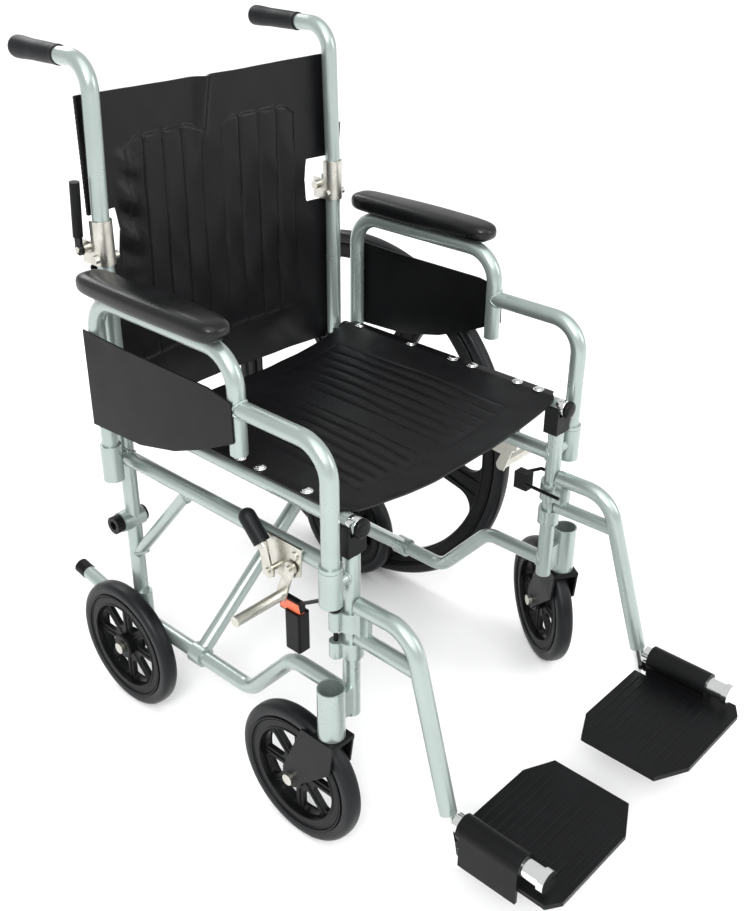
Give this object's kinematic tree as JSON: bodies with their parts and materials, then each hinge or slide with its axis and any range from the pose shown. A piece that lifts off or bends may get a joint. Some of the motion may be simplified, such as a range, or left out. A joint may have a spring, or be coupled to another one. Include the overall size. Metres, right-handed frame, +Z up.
{
  "type": "manual wheelchair",
  "caption": "Folding manual wheelchair with swivel casters, small rear transit wheels, a quick-release large wheel, swing-away footrests and a fold-down back.",
  "frame": {"origin": "middle of the chair's footprint, on the floor", "axes": "+Z up, -Y the way the chair faces, +X towards the occupant's left"},
  "size_m": [0.6408, 1.061, 0.942],
  "materials": {
    "frame_paint": "silver-green metallic paint, semi-gloss",
    "hanger_paint": "silver-green metallic paint, semi-gloss",
    "black_plastic": "moulded, satin",
    "pad_foam": "moulded foam skin, satin",
    "wheel_plastic": "moulded, satin",
    "tyre": "solid tyre",
    "vinyl": "vinyl upholstery, semi-gloss",
    "skirt_plastic": "flat sheet, satin",
    "zinc": "zinc plated",
    "chrome": "plated",
    "rubber": "moulded grip"
  },
  "bodies": {
    "right_frame": {"right_side_frame": "frame_paint", "right_frame_plugs": "black_plastic", "right_brake_bracket": "zinc", "right_transit_axle": "zinc", "right_back_hinge": "zinc", "back_sling_lower": "vinyl"},
    "left_frame": {"left_side_frame": "frame_paint", "left_frame_plugs": "black_plastic", "left_brake_bracket": "zinc", "left_transit_axle": "zinc", "left_back_hinge": "zinc"},
    "brace_a": {"brace_leg_right_foot": "frame_paint", "brace_bolt": "zinc", "left_seat_rail_fittings": "zinc", "seat_sling": "vinyl"},
    "brace_b": {"brace_leg_left_foot": "frame_paint", "right_seat_rail_fittings": "zinc"},
    "wheel_axle": {"quick_release_axle": "zinc"},
    "large_wheel_body": {"large_wheel": "wheel_plastic", "large_wheel_tyre": "tyre", "handrim": "black_plastic"},
    "right_transit_wheel_body": {"right_transit_wheel": "wheel_plastic", "right_transit_tyre": "tyre"},
    "right_caster_fork_body": {"right_caster_fork": "black_plastic", "right_caster_axle": "zinc"},
    "right_caster_wheel_body": {"right_caster_wheel": "wheel_plastic", "right_caster_tyre": "tyre"},
    "right_armrest": {"right_armrest_tube": "frame_paint", "right_arm_pad": "pad_foam", "right_skirt_guard": "skirt_plastic"},
    "right_hanger": {"right_footrest_hanger": "hanger_paint"},
    "right_latch": {"right_footrest_latch": "black_plastic"},
    "right_stem": {"right_footrest_stem": "chrome"},
    "right_plate": {"right_footplate": "black_plastic"},
    "right_back": {"right_upper_cane": "frame_paint", "right_grip": "rubber", "back_sling_upper": "vinyl"},
    "right_release": {"right_back_release": "black_plastic"},
    "right_brake": {"right_brake_lever": "zinc", "right_brake_grip": "rubber"},
    "right_shoe": {"right_brake_shoe": "zinc"},
    "left_transit_wheel_body": {"left_transit_wheel": "wheel_plastic", "left_transit_tyre": "tyre"},
    "left_caster_fork_body": {"left_caster_fork": "black_plastic", "left_caster_axle": "zinc"},
    "left_caster_wheel_body": {"left_caster_wheel": "wheel_plastic", "left_caster_tyre": "tyre"},
    "left_armrest": {"left_armrest_tube": "frame_paint", "left_arm_pad": "pad_foam", "left_skirt_guard": "skirt_plastic"},
    "left_hanger": {"left_footrest_hanger": "hanger_paint"},
    "left_latch": {"left_footrest_latch": "black_plastic"},
    "left_stem": {"left_footrest_stem": "chrome"},
    "left_plate": {"left_footplate": "black_plastic"},
    "left_back": {"left_upper_cane": "frame_paint", "left_grip": "rubber"},
    "left_release": {"left_back_release": "black_plastic"},
    "left_brake": {"left_brake_lever": "zinc", "left_brake_grip": "rubber"},
    "left_shoe": {"left_brake_shoe": "zinc"}
  },
  "joints": [
    {"name": "fold", "type": "hinge", "parent": "right_frame", "child": "brace_a", "pos_m": [-0.22644, 0.0935, 0.13], "axis": [0, -1, 0], "range_deg": [0, 33.6], "deforming": ["seat_sling", "back_sling_lower", "back_sling_upper"]},
    {"name": "brace_scissor", "type": "hinge", "parent": "brace_a", "child": "brace_b", "pos_m": [-0.02044, 0.0805, 0.3045], "axis": [0, -1, 0], "range_deg": [-67.2, 0]},
    {"name": "left_frame_foot", "type": "hinge", "parent": "brace_b", "child": "left_frame", "pos_m": [0.18556, 0.0675, 0.13], "axis": [0, -1, 0], "range_deg": [0, 33.6]},
    {"name": "quick_release_slide", "type": "slide", "parent": "left_frame", "child": "wheel_axle", "axis": [1, 0, 0], "range_m": [0, 0.12]},
    {"name": "large_wheel_spin", "type": "hinge", "parent": "wheel_axle", "child": "large_wheel_body", "pos_m": [0.25656, 0.2255, 0.305], "axis": [1, 0, 0], "continuous": true},
    {"name": "right_transit_spin", "type": "hinge", "parent": "right_frame", "child": "right_transit_wheel_body", "pos_m": [-0.25644, 0.2225, 0.1], "axis": [1, 0, 0], "continuous": true},
    {"name": "right_caster_swivel", "type": "hinge", "parent": "right_frame", "child": "right_caster_fork_body", "pos_m": [-0.26744, -0.2105, 0.196], "axis": [0, 0, 1], "continuous": true},
    {"name": "right_caster_spin", "type": "hinge", "parent": "right_caster_fork_body", "child": "right_caster_wheel_body", "pos_m": [-0.26744, -0.1535, 0.1], "axis": [1, 0, 0], "continuous": true},
    {"name": "right_armrest_lift", "type": "slide", "parent": "right_frame", "child": "right_armrest", "axis": [0, 0, 1], "range_m": [0, 0.06]},
    {"name": "right_hanger_swing", "type": "hinge", "parent": "right_frame", "child": "right_hanger", "pos_m": [-0.22644, -0.2055, 0.33], "axis": [0, 0, -1], "range_deg": [0, 90]},
    {"name": "right_latch_turn", "type": "hinge", "parent": "right_hanger", "child": "right_latch", "pos_m": [-0.24194, -0.1945, 0.34], "axis": [0, 0, -1], "range_deg": [0, 12], "stiffness_Nm_per_rad": 0.8, "springref_deg": -11.46},
    {"name": "right_footrest_drop", "type": "slide", "parent": "right_hanger", "child": "right_stem", "axis": [-0.0301, -0.2986, -0.9539], "range_m": [0, 0.06]},
    {"name": "right_footplate_flip", "type": "hinge", "parent": "right_stem", "child": "right_plate", "pos_m": [-0.23344, -0.4365, 0.145], "axis": [0, -1, 0], "range_deg": [0, 90]},
    {"name": "right_back_fold", "type": "hinge", "parent": "right_frame", "child": "right_back", "pos_m": [-0.22644, 0.2415, 0.703], "axis": [-1, 0, 0], "range_deg": [0, 90]},
    {"name": "right_release_turn", "type": "hinge", "parent": "right_frame", "child": "right_release", "pos_m": [-0.24884, 0.2415, 0.703], "axis": [-1, 0, 0], "range_deg": [0, 20], "stiffness_Nm_per_rad": 0.6, "springref_deg": -11.46},
    {"name": "right_brake_turn", "type": "hinge", "parent": "right_frame", "child": "right_brake", "pos_m": [-0.25444, -0.0935, 0.377], "axis": [1, 0, 0], "range_deg": [0, 44]},
    {"name": "right_shoe_turn", "type": "hinge", "parent": "right_frame", "child": "right_shoe", "pos_m": [-0.24444, -0.1215, 0.388], "axis": [1, 0, 0], "range_deg": [0, 24.75]},
    {"name": "left_transit_spin", "type": "hinge", "parent": "left_frame", "child": "left_transit_wheel_body", "pos_m": [0.21556, 0.2225, 0.1], "axis": [1, 0, 0], "continuous": true},
    {"name": "left_caster_swivel", "type": "hinge", "parent": "left_frame", "child": "left_caster_fork_body", "pos_m": [0.22656, -0.2105, 0.196], "axis": [0, 0, 1], "continuous": true},
    {"name": "left_caster_spin", "type": "hinge", "parent": "left_caster_fork_body", "child": "left_caster_wheel_body", "pos_m": [0.2576, -0.1627, 0.1], "axis": [0.8387, -0.5446, 0], "continuous": true},
    {"name": "left_armrest_lift", "type": "slide", "parent": "left_frame", "child": "left_armrest", "axis": [0, 0, 1], "range_m": [0, 0.06]},
    {"name": "left_hanger_swing", "type": "hinge", "parent": "left_frame", "child": "left_hanger", "pos_m": [0.18556, -0.2055, 0.33], "axis": [0, 0, 1], "range_deg": [0, 90]},
    {"name": "left_latch_turn", "type": "hinge", "parent": "left_hanger", "child": "left_latch", "pos_m": [0.20106, -0.1945, 0.34], "axis": [0, 0, 1], "range_deg": [0, 5], "stiffness_Nm_per_rad": 0.8, "springref_deg": -11.46},
    {"name": "left_footrest_drop", "type": "slide", "parent": "left_hanger", "child": "left_stem", "axis": [0.0301, -0.2986, -0.9539], "range_m": [0, 0.06]},
    {"name": "left_footplate_flip", "type": "hinge", "parent": "left_stem", "child": "left_plate", "pos_m": [0.19256, -0.4365, 0.145], "axis": [0, 1, 0], "range_deg": [0, 90]},
    {"name": "left_back_fold", "type": "hinge", "parent": "left_frame", "child": "left_back", "pos_m": [0.18556, 0.2415, 0.703], "axis": [-1, 0, 0], "range_deg": [0, 90]},
    {"name": "left_release_turn", "type": "hinge", "parent": "left_frame", "child": "left_release", "pos_m": [0.20796, 0.2415, 0.703], "axis": [-1, 0, 0], "range_deg": [0, 20], "stiffness_Nm_per_rad": 0.6, "springref_deg": -11.46},
    {"name": "left_brake_turn", "type": "hinge", "parent": "left_frame", "child": "left_brake", "pos_m": [0.21356, -0.0935, 0.377], "axis": [1, 0, 0], "range_deg": [0, 44]},
    {"name": "left_shoe_turn", "type": "hinge", "parent": "left_frame", "child": "left_shoe", "pos_m": [0.20356, -0.1215, 0.388], "axis": [1, 0, 0], "range_deg": [0, 24.75]}
  ],
  "couplings": [
    {"joint": "brace_scissor", "follows": "fold", "ratio": -2},
    {"joint": "left_frame_foot", "follows": "fold", "ratio": 1},
    {"joint": "right_shoe_turn", "follows": "right_brake_turn", "ratio": 0.5625},
    {"joint": "right_footplate_flip", "follows": "fold", "ratio": 2.675},
    {"joint": "left_shoe_turn", "follows": "left_brake_turn", "ratio": 0.5625},
    {"joint": "left_footplate_flip", "follows": "fold", "ratio": 2.675},
    {"joint": "left_back_fold", "follows": "right_back_fold", "ratio": 1}
  ]
}
